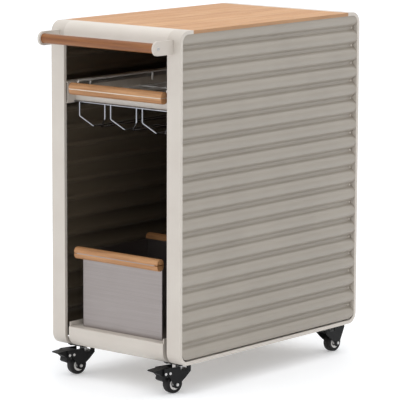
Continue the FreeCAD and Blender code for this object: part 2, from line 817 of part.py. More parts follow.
def build_grip(label, halves_half_length, front_y, middle_z):
    """Upper and lower wooden halves that clamp a steel flange between them."""
    halves = []
    depth = grip_depth
    for name, sign in (("upper", 1), ("lower", -1)):
        half = doc.addObject("PartDesign::Body", f"{label}_{name}")
        near_z = grip_flange / 2 * sign
        far_z = grip_height / 2 * sign
        pad = add_pad(half, "YZ", rectangle(0, depth, near_z, far_z), halves_half_length * 2)
        long_edges = edges_along(pad.Shape, X_AXIS, lambda middle: near(middle.z, far_z))
        rounded = add_fillet(half, pad, long_edges, grip_round)
        end_edges = [
            f"Edge{index}"
            for index, edge in enumerate(rounded.Shape.Edges, 1)
            if all(near(abs(vertex.Point.x), halves_half_length) for vertex in edge.Vertexes)
            and not all(near(vertex.Point.z, near_z) for vertex in edge.Vertexes)
        ]
        add_fillet(half, rounded, end_edges, grip_end_round)
        place(half, 0, front_y, middle_z)
        halves.append(half)
    join(label, halves, "Part::Compound")


def build_tray():
    """Open frame of folded sheet with a wire floor, side galleries and a grip at each end."""
    front_y = front - tray_proud
    rear_y = front_y + tray_length
    wall_front = front_y + grip_depth
    wall_rear = rear_y - grip_depth
    outer = tray_half_width
    inner = outer - tray_sheet
    top = tray_bottom + tray_wall
    shell = add_box("tray_outer", -outer, outer, wall_front, wall_rear, tray_bottom, top)
    hollow = add_box(
        "tray_hollow", -inner, inner, wall_front + tray_sheet, wall_rear - tray_sheet, 0, frame_top
    )
    ring = doc.addObject("Part::Cut", "tray_ring")
    ring.Base = shell
    ring.Tool = hollow
    low = grip_middle - grip_flange / 2
    high = grip_middle + grip_flange / 2
    flanges = [
        add_box("tray_front_flange", -outer, outer, front_y - 0.5, wall_front, low, high),
        add_box("tray_rear_flange", -outer, outer, wall_rear, rear_y + 0.5, low, high),
    ]
    join("tray_frame", [ring] + flanges)

    row_z = tray_bottom + floor_wire
    column_z = row_z + floor_wire * 1.9
    wires = []
    middle_y = (wall_front + wall_rear) / 2
    for row in range(floor_rows):
        y = middle_y + floor_row_pitch * (row - (floor_rows - 1) / 2)
        name = f"floor_row_{row + 1}"
        wires.append(add_rod(name, -inner, y, row_z, floor_wire, inner * 2, X_AXIS))
    for column in range(floor_columns):
        x = floor_column_pitch * (column - (floor_columns - 1) / 2)
        start = wall_front + tray_sheet
        length = wall_rear - tray_sheet - start
        name = f"floor_column_{column + 1}"
        wires.append(add_rod(name, x, start, column_z, floor_wire, length, Y_AXIS))
    join("tray_wire_floor", wires)

    rail_z = top + gallery_rise
    galleries = []
    for sign in (-1, 1):
        x = (inner - gallery_wire) * sign
        start = wall_front + tray_sheet + gallery_wire
        end = wall_rear - tray_sheet - gallery_wire
        foot_z = top - gallery_foot
        points = [
            (x, start, foot_z),
            (x, start, rail_z),
            (x, end, rail_z),
            (x, end, foot_z),
        ]
        pieces = [bent_wire(points, gallery_wire, gallery_bend)]
        for post in range(gallery_posts):
            y = front_y + gallery_first_post + gallery_post_pitch * post
            foot = Vector(x.number, y.number, foot_z.number)
            height = (rail_z - foot_z).number
            pieces.append(Part.makeCylinder(gallery_wire.number, height, foot))
        galleries.append(pieces[0].multiFuse(pieces[1:]))
    set_shape("tray_gallery", Part.makeCompound(galleries))

    build_grip("front_tray_grip", tray_grip_half, front_y, grip_middle)
    build_grip("rear_tray_grip", tray_grip_half, wall_rear, grip_middle)


def build_runners():
    """Pull-out runners: a channel on each support, and a slide inside it on the tray."""
    start = front + bar_thickness * 3
    end = start + runner_length
    middle = tray_bottom - 1 + runner_height / 2
    low = middle - runner_height / 2
    high = middle + runner_height / 2
    mouth = tray_half_width + runner_sheet + runner_play
    channels = []
    slides = []
    for side_name, sign in (("left", -1), ("right", 1)):
        channel = doc.addObject("PartDesign::Body", f"{side_name}_runner_channel")
        back = support_inset * sign
        inner = (support_inset - runner_sheet) * sign
        lip = mouth * sign
        outline = [
            (back, low),
            (back, high),
            (lip, high),
            (lip, high - runner_sheet),
            (inner, high - runner_sheet),
            (inner, low + runner_sheet),
            (lip, low + runner_sheet),
            (lip, low),
        ]
        add_pad(channel, "XZ", outline, runner_length)
        place(channel, 0, (start + end) / 2)
        channels.append(channel)

        slide = doc.addObject("PartDesign::Body", f"{side_name}_runner_slide")
        wall = tray_half_width * sign
        web = (tray_half_width + runner_sheet) * sign
        head = (support_inset - runner_sheet - runner_play) * sign
        slim = runner_height / 5
        tall = runner_height / 2 - runner_sheet - runner_play
        outline = [
            (wall, middle - slim),
            (wall, middle + slim),
            (web, middle + slim),
            (web + (head - web) / 3, middle + tall),
            (head, middle + tall),
            (head, middle - tall),
            (web + (head - web) / 3, middle - tall),
            (web, middle - slim),
        ]
        add_pad(slide, "XZ", outline, runner_length)
        place(slide, 0, (start + end) / 2)
        slides.append(slide)
    join("tray_runner_channels", channels, "Part::Compound")
    join("tray_runner_slides", slides, "Part::Compound")


# ---- bin -------------------------------------------------------------------------------------


def build_bin():
    """Open steel box with a flange and a wooden grip at the front and at the rear."""
    face = front + bin_inset
    back = face + bin_depth
    floor = shelf_height + bin_play
    top = floor + bin_height
    body = make_body("bin_box")
    outline = rectangle(-bin_half_width, bin_half_width, -bin_depth / 2, bin_depth / 2)
    pad = add_pad(body, "XY", outline, bin_height, both_ways=False)
    uprights = edges_along(pad.Shape, Z_AXIS, lambda middle: True)
    add_fillet(body, pad, uprights, bin_corner)
    place(body, 0, (face + back) / 2, floor)
    inner = bin_half_width - bin_sheet
    hollow = add_box(
        "bin_hollow", -inner, inner, face + bin_sheet, back - bin_sheet, floor + bin_sheet, frame_top
    )
    shell = doc.addObject("Part::Cut", "bin_walls")
    shell.Base = body
    shell.Tool = hollow
    del nodes[body.Label]
    middle = top - grip_flange / 2
    low = middle - grip_flange / 2
    edge = bin_half_width - bin_corner
    flanges = [
        add_box("bin_front_flange", -edge, edge, face - grip_depth, face + bin_sheet, low, top),
        add_box("bin_rear_flange", -edge, edge, back - bin_sheet, back + grip_depth, low, top),
    ]
    join("bin_shell", [shell] + flanges)
    build_grip("front_bin_grip", bin_grip_half, face - grip_depth, middle)
    build_grip("rear_bin_grip", bin_grip_half, back, middle)


# ---- casters ---------------------------------------------------------------------------------

# Each caster is drawn about its own kingpin with the axle towards -Y, then turned and placed.


def caster_body(name, part, where):
    body = make_body(f"{name}_{part}")
    place(body, *where)
    return body


def along_axle(body, where, angle):
    """Lay a body that was turned about Z along the caster's axle."""
    kingpin = Vector(*(as_size(value).number for value in where))
    turn = Rotation(Z_AXIS, angle.number)
    offset = turn.multVec(Vector(0, -trail.number, wheel_radius.number))
    lay_down = Rotation(Y_AXIS, 90)
    body.Placement = FreeCAD.Placement(kingpin + offset, turn.multiply(lay_down))


def build_plate(name, where):
    body = caster_body(name, "caster_plate", where)
    half = plate_size / 2
    hole = plate_hole_pitch / 2
    holes = [(x, y, plate_hole) for x in (hole, -hole) for y in (hole, -hole)]
    outline = rectangle(-half, half, -half, half)
    pad = add_pad(body, "XY", outline, plate_thickness, both_ways=False, holes=holes)
    corners = edges_along(pad.Shape, Z_AXIS, lambda middle: near(abs(middle.x), half))
    add_fillet(body, pad, corners, plate_corner)
    place(body, where[0], where[1], frame_base - plate_thickness)


def build_kingpin(name, where):
    """Boss under the plate, pin through the fork's crown and a head that holds it."""
    body = caster_body(name, "kingpin", where)
    crown_low = crown_top - crown_sheet
    head_low = crown_low - kingpin_play - kingpin_head_height
    outline = [
        (0, head_low),
        (kingpin_head, head_low),
        (kingpin_head, crown_low - kingpin_play),
        (kingpin_radius, crown_low - kingpin_play),
        (kingpin_radius, crown_top + kingpin_play),
        (kingpin_boss, crown_top + kingpin_play),
        (kingpin_boss, frame_base - plate_thickness),
        (0, frame_base - plate_thickness),
    ]
    add_revolution(body, outline)


def build_fork(name, where, angle, braked):
    """Folded steel fork: two cheeks that taper to the axle, and a crown between them."""
    body = caster_body(name, "fork", where)
    axle_y = -trail
    toe_bottom = wheel_radius - fork_toe
    nose_edge = [(-plain_nose, plain_corner), (-plain_nose, cheek_top)]
    if braked:
        nose_edge = [
            (-(brake_knee + trail + fork_toe) / 2, (brake_corner + toe_top) / 2),
            (-brake_knee, brake_corner - 1),
            (-brake_nose, brake_corner),
            (-brake_nose, cheek_top),
        ]
    outline = [
        (fork_tail, cheek_top),
        (fork_tail, tail_corner),
        (waist_back, waist_height),
        (axle_y + fork_toe, toe_top),
        (axle_y + fork_toe, toe_bottom),
        (axle_y - fork_toe, toe_bottom),
        (axle_y - fork_toe, toe_top),
        *nose_edge,
        (-kingpin_boss, cheek_top),
        (-kingpin_boss, crown_top),
        (kingpin_boss, crown_top),
        (kingpin_boss, cheek_top),
    ]
    pad = add_pad(body, "YZ", outline, cheek_half * 2)
    toe = edges_along(pad.Shape, X_AXIS, lambda middle: near(middle.z, toe_bottom))
    add_fillet(body, pad, toe, fork_toe - 0.1)
    inner = cheek_half - cheek_sheet
    add_pocket(body, "XZ", rectangle(-inner, inner, 0, crown_top - crown_sheet))
    add_pocket(body, "XZ", rectangle(-inner, inner, crown_top, frame_base))
    add_bore(body, "XY", 0, 0, kingpin_radius + running_play)
    add_bore(body, "YZ", axle_y, wheel_radius, axle_radius)
    if braked:
        crown_end = pivot_reach - kingpin_boss
        add_pocket(body, "XY", rectangle(-inner, inner, -brake_nose * 2, -crown_end))
        for reach in (pivot_reach, pivot_reach + rivet_spacing):
            add_bore(body, "YZ", -reach, pivot_height, rivet_radius)
    place(body, *where, angle=angle)


def build_wheel(name, where, angle):
    """Tyre on a hub with a bright ring, a recessed web and a boss that runs on the axle."""
    tyre = make_body(f"{name}_tyre")
    half = tyre_width / 2
    outline = [
        (hub_radius, -half),
        (wheel_radius, -half),
        (wheel_radius, half),
        (hub_radius, half),
    ]
    turned = add_revolution(tyre, outline)
    shoulders = [
        f"Edge{index}"
        for index, edge in enumerate(turned.Shape.Edges, 1)
        if edge.Curve.TypeId == "Part::GeomCircle" and near(edge.Curve.Radius, wheel_radius)
    ]
    add_fillet(tyre, turned, shoulders, tyre_round)
    along_axle(tyre, where, angle)

    hub = make_body(f"{name}_hub")
    bore = axle_radius + running_play
    reach = cheek_half - cheek_sheet - 0.5
    outline = [
        (bore, -reach),
        (hub_boss, -reach),
        (hub_boss, -hub_web / 2),
        (hub_inner, -hub_web / 2),
        (hub_inner, -half),
        (hub_radius, -half),
        (hub_radius, half),
        (hub_inner, half),
        (hub_inner, hub_web / 2),
        (hub_boss, hub_web / 2),
        (hub_boss, reach),
        (bore, reach),
    ]
    add_revolution(hub, outline)
    along_axle(hub, where, angle)

    axle = make_body(f"{name}_axle")
    cheek = cheek_half
    outline = [
        (0, -cheek - nut_height),
        (nut_radius, -cheek - nut_height),
        (nut_radius, -cheek),
        (axle_radius, -cheek),
        (axle_radius, cheek),
        (nut_radius, cheek),
        (nut_radius, cheek + nut_height),
        (0, cheek + nut_height),
    ]
    add_revolution(axle, outline)
    along_axle(axle, where, angle)


def build_brake(name, where, angle):
    """Foot lever between the cheeks, on a pivot, with a shoe in front of the tyre."""
    lever = caster_body(name, "brake_lever", where)
    pivot_y = -pivot_reach
    tip = -lever_reach
    pedal = [(8, 13), (-19, 13), (tip + 2, 10), (tip, 8.5), (tip, 7), (tip + 8, 4), (-29, 0)]
    claw = [(-20, -8), (-22, -16), (-18, -20.5), (-12, -12), (-8, -7)]
    shoe = [(-5, -7), (-4, -13), (2, -12.5), (6, -4)]
    outline = [(pivot_y + out, pivot_height + up) for out, up in pedal + claw + shoe]
    add_pad(lever, "YZ", outline, lever_half * 2)
    add_bore(lever, "YZ", pivot_y, pivot_height, rivet_radius + running_play)
    place(lever, *where, angle=angle)

    head = cheek_half + rivet_head_height
    inner = cheek_half - cheek_sheet
    pivot = [
        (0, -head),
        (rivet_head, -head),
        (rivet_head, -cheek_half),
        (rivet_radius, -cheek_half),
        (rivet_radius, cheek_half),
        (rivet_head, cheek_half),
        (rivet_head, head),
        (0, head),
    ]
    stub = [
        (0, inner),
        (rivet_radius, inner),
        (rivet_radius, cheek_half),
        (rivet_head, cheek_half),
        (rivet_head, head),
        (0, head),
    ]
    mirrored_stub = [(x, -z) for x, z in stub]
    rivets = []
    turn = Rotation(Z_AXIS, angle.number)
    kingpin = Vector(*(as_size(value).number for value in where))
    for part, outline, reach in (
        ("pivot", pivot, pivot_reach),
        ("right_rivet", stub, pivot_reach + rivet_spacing),
        ("left_rivet", mirrored_stub, pivot_reach + rivet_spacing),
    ):
        rivet = doc.addObject("PartDesign::Body", f"{name}_{part}")
        add_revolution(rivet, outline)
        offset = turn.multVec(Vector(0, -reach.number, pivot_height.number))
        lay_down = Rotation(Y_AXIS, 90)
        rivet.Placement = FreeCAD.Placement(kingpin + offset, turn.multiply(lay_down))
        rivets.append(rivet)
    join(f"{name}_brake_rivets", rivets, "Part::Compound")


def build_caster_screws(places):
    """Four screws through each caster's plate, heads below."""
    screws = []
    hole = plate_hole_pitch / 2
    under = frame_base - plate_thickness
    for name, (x, y, _) in places.items():
        for number, (step_x, step_y) in enumerate(((-1, -1), (1, -1), (-1, 1), (1, 1)), 1):
            screw = doc.addObject("PartDesign::Body", f"{name}_screw_{number}")
            outline = [
                (0, under - plate_screw_height),
                (plate_screw_head, under - plate_screw_height),
                (plate_screw_head, under),
                (plate_screw, under),
                (plate_screw, frame_base),
                (0, frame_base),
            ]
            add_revolution(screw, outline)
            place(screw, x + hole * step_x, y + hole * step_y)
            screws.append(screw)
    join("caster_screws", screws, "Part::Compound")


def build_casters():
    kingpin_x = side - caster_side
    places = {
        "front_left": (-kingpin_x, front + caster_end, 0),
        "front_right": (kingpin_x, front + caster_end, 0),
        "rear_left": (-kingpin_x, rear - caster_end, 0),
        "rear_right": (kingpin_x, rear - caster_end, 0),
    }
    for name, where in places.items():
        braked = name.startswith("front")
        angle = swivel_angles[name]
        build_plate(name, where)
        build_kingpin(name, where)
        build_fork(name, where, angle, braked)
        build_wheel(name, where, angle)
        if braked:
            build_brake(name, where, angle)
    build_caster_screws(places)


# ---- build, check and write ------------------------------------------------------------------

build_hoop("left_hoop", bar_width / 2 - side)
build_hoop("right_hoop", side - bar_width / 2)
build_fascia("front_fascia", front, 1)
build_fascia("rear_fascia", rear, -1)
build_side_panel("left_side_panel", -1)
build_side_panel("right_side_panel", 1)
build_back_panel()
build_worktop()
build_worktop_bars()
build_shelf()
build_handle()
build_supports()
build_rack()
build_tray()
build_runners()
build_bin()
build_casters()

doc.recompute()
for item in doc.Objects:
    if "Invalid" in item.State or "Error" in item.State:
        raise ValueError(f"{item.Label} failed: {item.State}")
for label, item in nodes.items():
    if item.Shape.isNull() or not item.Shape.isValid():
        raise ValueError(f"{label} has no valid shape")
    if not item.Shape.Solids:
        raise ValueError(f"{label} has no solid")
for label, item in nodes.items():
    item.Shape.exportStep(os.path.join("parts", f"{label}.step"))
print(len(nodes), "nodes written")
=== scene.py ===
import json
import math

import bmesh
import bpy
from mathutils import Euler, Matrix, Vector


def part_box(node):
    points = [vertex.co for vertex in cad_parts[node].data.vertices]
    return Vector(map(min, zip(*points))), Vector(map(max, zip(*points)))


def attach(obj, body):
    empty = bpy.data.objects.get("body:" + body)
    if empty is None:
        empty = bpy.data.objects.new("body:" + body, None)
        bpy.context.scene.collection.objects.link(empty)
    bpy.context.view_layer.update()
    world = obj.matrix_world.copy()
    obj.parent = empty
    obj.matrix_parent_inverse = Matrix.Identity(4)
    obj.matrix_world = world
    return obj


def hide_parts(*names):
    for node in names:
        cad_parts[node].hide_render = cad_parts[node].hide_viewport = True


# Looks of a serving trolley: powder-coated steel with corrugated sides, a teak worktop,
# handle and grips, a brushed steel bin, bright wire and black casters.  Metres: +Z up, front
# towards -Y, origin on the floor under the middle of the trolley.

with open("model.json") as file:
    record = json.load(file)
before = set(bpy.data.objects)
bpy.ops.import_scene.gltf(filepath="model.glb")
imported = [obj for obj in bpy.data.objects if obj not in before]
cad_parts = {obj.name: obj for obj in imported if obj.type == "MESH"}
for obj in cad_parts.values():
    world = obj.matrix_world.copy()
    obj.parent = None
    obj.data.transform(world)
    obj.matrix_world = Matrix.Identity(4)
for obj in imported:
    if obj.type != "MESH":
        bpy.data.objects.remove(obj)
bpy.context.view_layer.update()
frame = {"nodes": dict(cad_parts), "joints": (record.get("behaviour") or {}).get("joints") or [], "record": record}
record = frame["record"]

# ---- sizes, in metres ------------------------------------------------------------------------

worktop_low, worktop_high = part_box("worktop")
panel_low, panel_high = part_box("right_side_panel")

STAVES = 9
STAVE_WIDTH = (worktop_high.x - worktop_low.x) / STAVES

RIB_PITCH = 0.0473  # spacing of the corrugated sheets' valleys
RIB_DEPTH = 0.0135
VALLEY_RADIUS = 0.0068  # outside radius at the bottom of a valley
TOP_VALLEY = worktop_high.z - 0.0427  # height of the highest valley
SHEET = 0.0015  # thickness of a corrugated sheet
SHEET_CORNER = 0.021  # radius of a sheet's corners, the inside bend of the hoop
SHEET_LOW = panel_low.z + 0.0014  # height of a sheet's bottom edge

RIVET_INSET = 0.009  # from a sheet's front or rear edge to its rivets
RIVET_MARGIN = 0.02  # least height of a rivet above the bottom of the sheet's box
RIVET_DOME = (
    (0.0032, -0.0008),
    (0.0032, 0.0004),
    (0.0028, 0.0012),
    (0.0019, 0.0018),
    (0.0008, 0.002),
)

SHELF_SHEET = 0.002  # thickness of the bottom shelf and of its side flanges
SHELF_BEND = 0.030  # outside radius of the shelf's lower bends
FLANGE_TOP = 0.0505  # from the bottom of the shelf up to the top of its side flanges
FLANGE_LIFT = 0.0002  # from the bottom of the shelf up to its side flanges
FLANGE_INSET = 0.0004  # from the shelf's side in to its flange

TYRE_RADIUS = 0.025
TYRE_WIDTH = 0.022
HUB_RADIUS = 0.0155  # outside radius of the hub's bright ring
HUB_INNER = 0.0098  # its inside radius
HUB_BOSS = 0.006  # radius of the boss round the axle
HUB_BORE = 0.0034
HUB_REACH = 0.0164  # from the hub's middle to the end of its boss
HUB_WEB = 0.003  # half the thickness of the web between the boss and the ring
FORK_FACE = 0.02  # from the middle of a fork to its outside
AXLE_RADIUS = 0.003
AXLE_HEAD = 0.0045  # radius over the corners of the axle's head and nut
AXLE_END = 0.024  # from the middle of a fork to the end of its axle
NUT_DOME = 0.0012  # height of the dome on the axle's nut

SOCKET_RADIUS = 0.0021  # of the sockets in the handle's screws
SCREW_RADIUS = 0.0025
SCREW_LENGTH = 0.02

SHARP_TURN = math.radians(38)  # an edge that turns more than this shows as a sharp one


# ---- node helpers ----------------------------------------------------------------------------


def rgb(red, green, blue):
    """A colour given as it shows on a screen, 0 to 255, in the linear form that nodes take."""

    def linear(channel):
        value = channel / 255
        return value / 12.92 if value <= 0.04045 else ((value + 0.055) / 1.055) ** 2.4

    return (linear(red), linear(green), linear(blue), 1.0)


class Shader:
    """One material's node tree, with a short call for each kind of node used here."""

    def __init__(self, name):
        self.material = bpy.data.materials.new(name)
        self.material.use_nodes = True
        self.tree = self.material.node_tree
        self.tree.nodes.clear()
        self.principled = self.tree.nodes.new("ShaderNodeBsdfPrincipled")
        output = self.tree.nodes.new("ShaderNodeOutputMaterial")
        self.tree.links.new(self.principled.outputs[0], output.inputs["Surface"])
        self.place = self.tree.nodes.new("ShaderNodeTexCoord").outputs["Object"]

    def put(self, socket, value):
        """Link a node's output to a socket, or set the socket to a constant."""
        if isinstance(value, bpy.types.NodeSocket):
            self.tree.links.new(value, socket)
        else:
            socket.default_value = value

    def surface(self, **inputs):
        """Set inputs of the surface itself; underscores stand for spaces."""
        for name, value in inputs.items():
            self.put(self.principled.inputs[name.replace("_", " ")], value)

    def scaled(self, x, y, z, vector=None):
        """A place, by default the one on the object, stretched along each axis."""
        node = self.tree.nodes.new("ShaderNodeVectorMath")
        node.operation = "MULTIPLY"
        self.put(node.inputs[0], vector or self.place)
        node.inputs[1].default_value = (x, y, z)
        return node.outputs[0]

    def shifted(self, vector, offset):
        node = self.tree.nodes.new("ShaderNodeVectorMath")
        self.put(node.inputs[0], vector)
        self.put(node.inputs[1], offset)
        return node.outputs[0]

    def normal(self, name):
        """One axis of the surface's direction, in the object's own space."""
        node = self.tree.nodes.new("ShaderNodeTexCoord")
        return self.axis(name, node.outputs["Normal"])

    def axis(self, name, vector=None):
        node = self.tree.nodes.new("ShaderNodeSeparateXYZ")
        self.put(node.inputs[0], vector or self.place)
        return node.outputs[name]

    def combine(self, x=0.0, y=0.0, z=0.0):
        node = self.tree.nodes.new("ShaderNodeCombineXYZ")
        for socket, value in zip(node.inputs, (x, y, z)):
            self.put(socket, value)
        return node.outputs[0]

    def noise(self, vector, scale=1.0, detail=3.0, roughness=0.5, distortion=0.0):
        node = self.tree.nodes.new("ShaderNodeTexNoise")
        self.put(node.inputs["Vector"], vector)
        node.inputs["Scale"].default_value = scale
        node.inputs["Detail"].default_value = detail
        node.inputs["Roughness"].default_value = roughness
        node.inputs["Distortion"].default_value = distortion
        return node.outputs[0]

    def random(self, value):
        """A fixed random number from 0 to 1 for each value."""
        node = self.tree.nodes.new("ShaderNodeTexWhiteNoise")
        node.noise_dimensions = "1D"
        self.put(node.inputs["W"], value)
        return node.outputs["Value"]

    def math(self, operation, a, b=0.0):
        node = self.tree.nodes.new("ShaderNodeMath")
        node.operation = operation
        self.put(node.inputs[0], a)
        self.put(node.inputs[1], b)
        return node.outputs[0]

    def ramp(self, value, low, high, to_low=0.0, to_high=1.0):
        """Map low..high to to_low..to_high, held at both ends."""
        node = self.tree.nodes.new("ShaderNodeMapRange")
        self.put(node.inputs["Value"], value)
        for name, number in (
            ("From Min", low),
            ("From Max", high),
            ("To Min", to_low),
            ("To Max", to_high),
        ):
            node.inputs[name].default_value = number
        return node.outputs[0]

    def mix(self, factor, a, b):
        """Colour a at factor 0, colour b at factor 1."""
        node = self.tree.nodes.new("ShaderNodeMix")
        node.data_type = "RGBA"
        self.put(node.inputs[0], factor)
        self.put(node.inputs[6], a)
        self.put(node.inputs[7], b)
        return node.outputs[2]

    def bump(self, height, strength, distance):
        node = self.tree.nodes.new("ShaderNodeBump")
        node.inputs["Strength"].default_value = strength
        node.inputs["Distance"].default_value = distance
        self.put(node.inputs["Height"], height)
        return node.outputs[0]


# ---- materials -------------------------------------------------------------------------------


def powder_coat(name, light, dark):
    """Satin powder coat: a fine orange-peel texture and a slow, faint change of tone."""
    shader = Shader(name)
    cloud = shader.noise(shader.place, scale=9, detail=2)
    peel = shader.noise(shader.place, scale=900, detail=2, roughness=0.6)
    colour = shader.mix(shader.ramp(cloud, 0.35, 0.65), dark, light)
    shader.surface(
        Base_Color=colour,
        Roughness=shader.ramp(cloud, 0.3, 0.7, 0.42, 0.5),
        Normal=shader.bump(peel, 0.12, 0.0004),
        IOR=1.48,
    )
    return shader.material


def panel_coat(name, light, dark, inside):
    """The sheets' satin coat, with the sides that face into the trolley painted dark: partly their darker finish,
    partly painted shade of the trolley's inside.
    """
    shader = Shader(name)
    cloud = shader.noise(shader.place, scale=7, detail=2)
    peel = shader.noise(shader.place, scale=800, detail=2, roughness=0.6)
    colour = shader.mix(shader.ramp(cloud, 0.35, 0.65), dark, light)
    # Painted shade, in part: faces that point into the trolley, and the front face of the back sheet, take the
    # dark inside colour, which stands partly for the shade inside the trolley.
    side = shader.math("SIGN", shader.axis("X"))
    inward = shader.math("MULTIPLY", shader.math("MULTIPLY", side, shader.normal("X")), -1.0)
    from_side = shader.math("GREATER_THAN", inward, 0.15)
    forward = shader.math("LESS_THAN", shader.normal("Y"), -0.5)
    off_middle = shader.math("ABSOLUTE", shader.axis("X"))
    on_back = shader.math("LESS_THAN", off_middle, panel_low.x - 0.0005)
    inward_shade_mask = shader.math("MAXIMUM", from_side, shader.math("MULTIPLY", forward, on_back))
    shader.surface(
        Base_Color=shader.mix(inward_shade_mask, colour, inside),
        Roughness=shader.ramp(cloud, 0.3, 0.7, 0.31, 0.37),
        Normal=shader.bump(peel, 0.1, 0.0004),
        IOR=1.6,
    )
    return shader.material


def wood(name, along, tones, stave_width=None, gloss=0.46):
    """Oiled teak whose grain runs along one axis, 'X' or 'Y'.

    tones are the light, middle and dark colours.  With a stave width, each stave across X has its own tone and its
    own piece of grain, and the upright faces are painted darker and greyer than the top, as painted shade.
    """
    shader = Shader(name)
    light, middle, dark = tones
    place = shader.place
    if stave_width:
        across = shader.math("ADD", shader.axis("X"), -worktop_low.x)
        number = shader.math("FLOOR", shader.math("DIVIDE", across, stave_width))
        tone = shader.random(shader.math("ADD", number, 0.37))
        other = shader.random(shader.math("ADD", number, 31.7))
        offset = shader.combine(other, shader.math("MULTIPLY", tone, 7.0), 0.0)
        place = shader.shifted(place, offset)

    def stretched(lengthways, crossways):
        if along == "X":
            return shader.scaled(lengthways, crossways, crossways, place)
        return shader.scaled(crossways, lengthways, crossways, place)

    figure = shader.noise(stretched(2.2, 34), detail=3, roughness=0.55, distortion=0.9)
    streaks = shader.noise(stretched(7, 210), detail=4, roughness=0.6, distortion=0.3)
    fibres = shader.noise(stretched(26, 1500), detail=2)
    pores = shader.ramp(shader.noise(stretched(55, 2100), detail=1), 0.66, 0.74)

    colour = shader.mix(shader.ramp(figure, 0.36, 0.64), middle, light)
    colour = shader.mix(shader.ramp(streaks, 0.5, 0.78, 0.0, 0.75), colour, dark)
    if stave_width:
        colour = shader.mix(shader.ramp(tone, 0.0, 1.0, 0.0, 0.55), colour, middle)
        colour = shader.mix(shader.ramp(other, 0.0, 1.0, 0.0, 0.28), colour, dark)
    colour = shader.mix(shader.ramp(fibres, 0.4, 0.75, 0.0, 0.25), colour, dark)
    colour = shader.mix(shader.math("MULTIPLY", pores, 0.45), colour, dark)
    if stave_width:
        # Painted shade: the staves' upright faces are mixed towards a darker, greyer colour than the top, for the
        # less light that falls on them.
        edge = shader.math("LESS_THAN", shader.normal("Z"), 0.5)
        colour = shader.mix(shader.math("MULTIPLY", edge, 0.55), colour, TEAK_UPRIGHT_SHADE)
    relief = shader.math("SUBTRACT", fibres, shader.math("MULTIPLY", pores, 0.8))
    shader.surface(
        Base_Color=colour,
        Roughness=shader.ramp(streaks, 0.3, 0.8, gloss, gloss + 0.14),
        Normal=shader.bump(relief, 0.22, 0.0003),
        IOR=1.45,
    )
    return shader.material


def brushed_steel(name, light, dark, roughness):
    """Stainless sheet brushed level, with faint smudges."""
    shader = Shader(name)
    lines = shader.noise(shader.scaled(5, 5, 1900), detail=3, roughness=0.65)
    broad = shader.noise(shader.scaled(3, 3, 120), detail=2)
    smudge = shader.noise(shader.place, scale=14, detail=3, roughness=0.6)
    colour = shader.mix(shader.ramp(lines, 0.3, 0.7), dark, light)
    colour = shader.mix(shader.ramp(broad, 0.35, 0.7, 0.0, 0.3), colour, dark)
    shader.surface(
        Base_Color=colour,
        Roughness=shader.ramp(smudge, 0.35, 0.7, roughness, roughness + 0.1),
        Normal=shader.bump(lines, 0.12, 0.0002),
        Metallic=1.0,
        Anisotropic=0.5,
    )
    return shader.material


def bright_metal(name, light, dark, roughness, grain, metallic=1.0):
    """Plated or polished metal: nearly even, with fine rubbing marks."""
    shader = Shader(name)
    marks = shader.noise(shader.place, scale=grain, detail=4, roughness=0.7)
    haze = shader.noise(shader.place, scale=22, detail=2)
    shader.surface(
        Base_Color=shader.mix(shader.ramp(haze, 0.3, 0.7), dark, light),
        Roughness=shader.ramp(marks, 0.3, 0.7, roughness * 0.7, roughness * 1.5),
        Normal=shader.bump(marks, 0.05, 0.0002),
        Metallic=metallic,
    )
    return shader.material


def moulded(name, light, dark, roughness, grain, bump=0.15, ior=1.5):
    """Moulded plastic or rubber with a fine grain and slightly uneven gloss."""
    shader = Shader(name)
    fine = shader.noise(shader.place, scale=grain, detail=3, roughness=0.6)
    cloud = shader.noise(shader.place, scale=45, detail=2)
    shader.surface(
        Base_Color=shader.mix(shader.ramp(cloud, 0.35, 0.65), dark, light),
        Roughness=shader.ramp(cloud, 0.3, 0.7, roughness, roughness + 0.12),
        Normal=shader.bump(fine, bump, 0.0003),
        IOR=ior,
    )
    return shader.material


TEAK_TOP = (rgb(214, 168, 118), rgb(194, 142, 92), rgb(144, 90, 50))
TEAK_HANDLE = (rgb(154, 100, 52), rgb(130, 77, 38), rgb(84, 46, 22))
TEAK_GRIP = (rgb(196, 147, 101), rgb(170, 120, 76), rgb(114, 73, 40))
# Painted shade on the worktop's upright faces.
TEAK_UPRIGHT_SHADE = rgb(150, 118, 92)

materials = {
    "frame_paint": powder_coat("frame_paint", rgb(204, 197, 188), rgb(200, 192, 183)),
    # panel_paint's last colour is the dark colour of the inward faces, partly painted shade of the trolley's
    # inside.
    "panel_paint": panel_coat(
        "panel_paint", rgb(156, 148, 137), rgb(150, 142, 131), rgb(92, 82, 68)
    ),
    "worktop_wood": wood("worktop_wood", "Y", TEAK_TOP, stave_width=STAVE_WIDTH),
    "handle_wood": wood("handle_wood", "X", TEAK_HANDLE, gloss=0.4),
    "grip_wood": wood("grip_wood", "X", TEAK_GRIP, gloss=0.42),
    "brushed_steel": brushed_steel("brushed_steel", rgb(158, 151, 148), rgb(141, 134, 132), 0.34),
    "wire_chrome": bright_metal("wire_chrome", rgb(226, 226, 228), rgb(206, 206, 210), 0.12, 300),
    "zinc": bright_metal("zinc", rgb(206, 205, 203), rgb(184, 183, 182), 0.3, 700),
    "caster_black": moulded("caster_black", rgb(18, 18, 19), rgb(11, 11, 12), 0.42, 1400, ior=1.3),
    "tyre": moulded("tyre", rgb(28, 26, 26), rgb(17, 16, 16), 0.5, 900, bump=0.3, ior=1.33),
    "hub_plastic": moulded("hub_plastic", rgb(240, 238, 235), rgb(232, 229, 225), 0.4, 1200),
}

